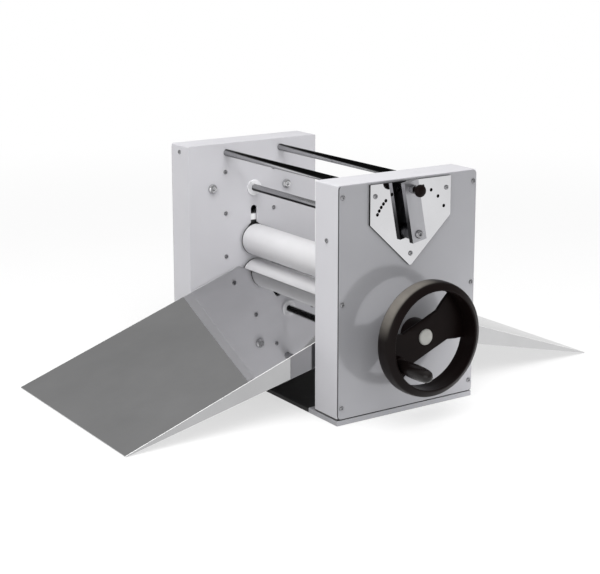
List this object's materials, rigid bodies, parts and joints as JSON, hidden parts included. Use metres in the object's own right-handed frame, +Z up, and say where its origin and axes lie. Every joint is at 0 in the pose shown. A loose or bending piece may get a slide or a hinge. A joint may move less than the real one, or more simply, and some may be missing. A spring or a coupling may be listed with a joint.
{
  "type": "manual dough sheeter",
  "caption": "Hand-cranked benchtop pasta roller: housings carry a roller pair, a handwheel turns it, a cam lever sets the gap, polished trays feed the dough in and out.",
  "frame": {"origin": "on the table, under the roller axes, midway between the two housings", "axes": "+X along the rollers towards the handwheel, +Y along the dough's path from in-feed to out-feed, +Z up"},
  "size_m": [0.5249, 0.755, 0.3092],
  "materials": {
    "housing_paint": "smooth light grey powder coat",
    "cover_paint": "smooth mid grey powder coat",
    "base_paint": "black paint",
    "polished_steel": "mirror-polished stainless steel",
    "screw_steel": "bright zinc-plated steel",
    "machined_steel": "machined steel",
    "spring_steel": "spring wire",
    "bronze": "bearing bronze",
    "roller_plastic": "fine-turned white food-grade plastic",
    "bush_plastic": "white plastic",
    "cap_plastic": "pale grey plastic",
    "black_plastic": "glossy black moulded plastic",
    "seal_rubber": "black rubber",
    "lever_metal": "satin aluminium"
  },
  "bodies": {
    "frame": {"adjuster_bushes": "bush_plastic", "base_plate": "base_paint", "bridge_bolts": "screw_steel", "bridge_nuts": "screw_steel", "bridge_spacers": "machined_steel", "cover_screws": "screw_steel", "face_screws": "screw_steel", "front_tie_rod": "polished_steel", "front_tray_rod": "polished_steel", "index_plate": "polished_steel", "index_screws": "screw_steel", "left_cam_bridge": "machined_steel", "left_cover_plate": "cover_paint", "left_guide_rails": "machined_steel", "left_housing_shell": "housing_paint", "left_lift_springs": "spring_steel", "left_lower_bearing": "bronze", "left_plinth_rail": "housing_paint", "plinth_gaskets": "seal_rubber", "rail_screws": "screw_steel", "rear_tie_rod": "polished_steel", "rear_tray_rod": "polished_steel", "right_cam_bridge": "machined_steel", "right_cover_plate": "cover_paint", "right_guide_rails": "machined_steel", "right_housing_shell": "housing_paint", "right_lift_springs": "spring_steel", "right_lower_bearing": "bronze", "right_plinth_rail": "housing_paint", "spring_seats": "machined_steel", "tie_rod_nuts": "screw_steel"},
    "lower_roller": {"lower_roller_shaft": "machined_steel", "lower_roller_sleeve": "roller_plastic", "lower_end_seals": "seal_rubber", "lower_gear": "machined_steel", "handwheel": "black_plastic", "hub_cap": "cap_plastic", "handle_spindle": "screw_steel"},
    "handle": {"handle_grip": "black_plastic"},
    "lever": {"adjuster_shaft": "polished_steel", "left_lift_cam": "machined_steel", "right_lift_cam": "machined_steel", "lever_arm": "lever_metal", "lever_hub": "lever_metal", "lever_screw": "screw_steel", "plunger_barrel": "screw_steel"},
    "plunger": {"index_pin": "screw_steel", "plunger_knob": "black_plastic"},
    "upper_carriage": {"left_bearing_block": "bush_plastic", "right_bearing_block": "bush_plastic", "upper_bushes": "bronze", "left_follower_screw": "spring_steel", "right_follower_screw": "spring_steel", "locknuts": "screw_steel"},
    "upper_roller": {"upper_roller_shaft": "machined_steel", "upper_roller_sleeve": "roller_plastic", "upper_end_seals": "seal_rubber", "upper_gear": "machined_steel"},
    "front_tray": {"front_tray": "polished_steel"},
    "rear_tray": {"rear_tray": "polished_steel"}
  },
  "joints": [
    {"name": "lower_roller_spin", "type": "hinge", "parent": "frame", "child": "lower_roller", "pos_m": [0, 0, 0.1085], "axis": [1, 0, 0], "continuous": true},
    {"name": "handle_spin", "type": "hinge", "parent": "lower_roller", "child": "handle", "pos_m": [0.253, -0.04495, 0.08041], "axis": [1, 0, 0], "continuous": true},
    {"name": "thickness_lever", "type": "hinge", "parent": "frame", "child": "lever", "pos_m": [0, 0, 0.2384], "axis": [1, 0, 0], "range_deg": [-74, 51]},
    {"name": "upper_lift", "type": "slide", "parent": "frame", "child": "upper_carriage", "axis": [0, 0, 1], "range_m": [-0.00503, 0.00347], "deforming": ["left_lift_springs", "right_lift_springs"]},
    {"name": "upper_roller_spin", "type": "hinge", "parent": "upper_carriage", "child": "upper_roller", "pos_m": [0, 0, 0.161], "axis": [1, 0, 0], "continuous": true},
    {"name": "plunger_pull", "type": "slide", "parent": "lever", "child": "plunger", "axis": [1, 0, 0], "range_m": [0, 0.006], "stiffness_N_per_m": 800, "springref_m": -0.003},
    {"name": "front_tray_fold", "type": "hinge", "parent": "frame", "child": "front_tray", "pos_m": [0, -0.03, 0.118], "axis": [-1, 0, 0], "range_deg": [0, 75]},
    {"name": "rear_tray_fold", "type": "hinge", "parent": "frame", "child": "rear_tray", "pos_m": [0, 0.03, 0.118], "axis": [1, 0, 0], "range_deg": [0, 75]}
  ],
  "couplings": [
    {"joint": "thickness_lever", "follows": "upper_lift", "rad_per_m": 256.41},
    {"joint": "upper_roller_spin", "follows": "lower_roller_spin", "ratio": -1}
  ]
}
